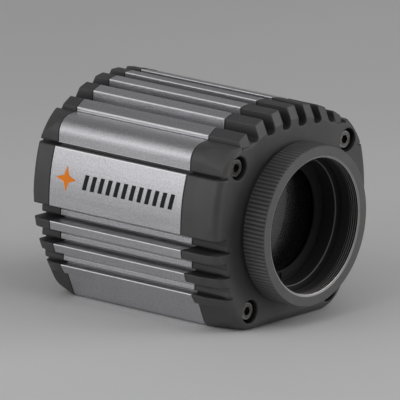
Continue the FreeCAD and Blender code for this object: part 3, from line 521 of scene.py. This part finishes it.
def make_materials():
    return {
        "satin_aluminium": satin_aluminium(),
        "dark_anodised": dark_anodised(),
        "ring_anodised": ring_anodised(),
        "window_glass": glass("window_glass", (0.12, 0.11, 0.13), 0.05, (0.95, 0.92, 1.0), 0.3, 0.9),
        "cover_glass": glass("cover_glass", (0.9, 0.95, 0.93), 0.01),
        "board_green": circuit_board(),
        "board_black": grained("board_black", (0.010, 0.010, 0.012), 0.0, 0.5, 0.2, 400.0),
        "silicon": sensor_silicon(),
        "orange_ink": grained("orange_ink", (0.98, 0.27, 0.02), 0.0, 0.6, 0.06, 300.0, **MATT),
        "dark_ink": grained("dark_ink", (0.016, 0.016, 0.018), 0.0, 0.6, 0.15, 300.0, **MATT),
        "black_rubber": grained("black_rubber", (0.012, 0.012, 0.012), 0.0, 0.75, 0.2, 400.0, depth=0.03),
        "dark_steel": dark_steel(),
        "bright_steel": grained("bright_steel", (0.55, 0.55, 0.54), 1.0, 0.3, 0.08, 500.0),
        "black_polymer": grained("black_polymer", (0.02, 0.02, 0.021), 0.0, 0.5, 0.15, 300.0, depth=0.02),
        "grey_ceramic": grained("grey_ceramic", (0.10, 0.095, 0.10), 0.0, 0.55, 0.1, 400.0),
        "white_ceramic": grained("white_ceramic", (0.72, 0.72, 0.70), 0.0, 0.6, 0.05, 300.0),
        "plain_aluminium": grained("plain_aluminium", (0.60, 0.61, 0.62), 1.0, 0.3, 0.06, 300.0),
        "copper": grained("copper", (0.75, 0.36, 0.20), 1.0, 0.3, 0.08, 300.0),
        "thermoelectric": grained("thermoelectric", (0.16, 0.16, 0.18), 0.5, 0.6, 0.2, 800.0),
        "red_insulation": grained("red_insulation", (0.45, 0.03, 0.02), 0.0, 0.45, 0.08, 300.0),
        "black_epoxy": grained("black_epoxy", (0.018, 0.018, 0.02), 0.0, 0.55, 0.2, 900.0, depth=0.02),
        "desiccant_white": grained("desiccant_white", (0.7, 0.67, 0.6), 0.0, 0.85, 0.08, 900.0, depth=0.05),
        "ribbon_amber": grained("ribbon_amber", (0.42, 0.16, 0.02), 0.0, 0.25, 0.15, 300.0),
        "ivory_plastic": grained("ivory_plastic", (0.66, 0.6, 0.46), 0.0, 0.45, 0.05, 300.0),
        "brass_plated": grained("brass_plated", (0.7, 0.5, 0.22), 1.0, 0.3, 0.08, 400.0),
        "usb_blue": grained("usb_blue", (0.02, 0.09, 0.4), 0.0, 0.4, 0.08, 400.0),
        "clear_plastic": glass("clear_plastic", (0.85, 0.88, 0.9), 0.15),
    }


def paint_nodes(materials):
    slot_of = {s["node"]: s["material_slot"] for s in frame["record"]["subparts"]}
    for name, node in nodes.items():
        node.data.materials.clear()
        node.data.materials.append(materials[slot_of[name]])


# ---------------------------------------------------------------- stage
def make_floor():
    shader = Shader("floor")
    shader.feed("Base Color", shader.ramp(shader.noise(6.0, 2.0), list(zip((0.3, 0.7), FLOOR_GREYS))))
    shader.principled.inputs["Roughness"].default_value = 0.7
    height = cad_bounds[0].z
    mesh = bpy.data.meshes.new("floor")
    half = FLOOR_SIZE / 2
    corners = [(-half, -half, height), (half, -half, height), (half, half, height), (-half, half, height)]
    mesh.from_pydata(corners, [], [(0, 1, 2, 3)])
    mesh.materials.append(shader.material)
    floor = bpy.data.objects.new("floor", mesh)
    bpy.context.scene.collection.objects.link(floor)


def softbox(name, azimuth, elevation, power, centre):
    """Square area light on an orbit about the object, pointing at it."""
    light = bpy.data.lights.new(name, "AREA")
    light.shape = "SQUARE"
    light.size = LIGHT_SIZE
    light.energy = power
    lamp = bpy.data.objects.new(name, light)
    bpy.context.scene.collection.objects.link(lamp)
    out = orbit(azimuth, elevation)
    lamp.location = centre + out * LIGHT_DISTANCE
    lamp.rotation_euler = (-out).to_track_quat("-Z", "Y").to_euler()


def orbit(azimuth, elevation):
    """Unit vector from the object: azimuth 0 is the mouth's side, and turns towards +X."""
    a = math.radians(azimuth)
    e = math.radians(elevation)
    return Vector((math.sin(a) * math.cos(e), -math.cos(a) * math.cos(e), math.sin(e)))


def look():
    """Plain tone curve, so that greys come out as they are lit."""
    view = bpy.context.scene.view_settings
    view.view_transform = "Standard"
    view.look = "None"


def make_lights():
    centre = (cad_bounds[0] + cad_bounds[1]) / 2
    for name, azimuth, elevation, power in LIGHTS:
        softbox(name, azimuth, elevation, power, centre)
    world = bpy.data.worlds.new("world")
    world.use_nodes = True
    background = world.node_tree.nodes["Background"]
    background.inputs["Color"].default_value = (1.0, 1.0, 1.0, 1.0)
    background.inputs["Strength"].default_value = WORLD_STRENGTH
    bpy.context.scene.world = world


def make_camera():
    back = orbit(CAMERA_AZIMUTH, CAMERA_ELEVATION)
    a = math.radians(CAMERA_AZIMUTH)
    right = Vector((math.cos(a), math.sin(a), 0.0))
    up = back.cross(right)
    roll = math.radians(CAMERA_ROLL)
    rolled_right = right * math.cos(roll) + up * math.sin(roll)
    rolled_up = up * math.cos(roll) - right * math.sin(roll)
    data = bpy.data.cameras.new("camera")
    data.sensor_width = SENSOR_WIDTH
    data.lens = SENSOR_WIDTH * CAMERA_DISTANCE / VIEW_WIDTH
    data.clip_start = 0.1
    data.clip_end = 20.0
    camera = bpy.data.objects.new("camera", data)
    bpy.context.scene.collection.objects.link(camera)
    axes = Matrix((rolled_right, rolled_up, back)).transposed().to_4x4()
    camera.matrix_world = Matrix.Translation(CAMERA_AIM + back * CAMERA_DISTANCE) @ axes
    bpy.context.scene.camera = camera


materials = make_materials()
paint_nodes(materials)
make_floor()
make_lights()
make_camera()
look()
bpy.context.view_layer.update()
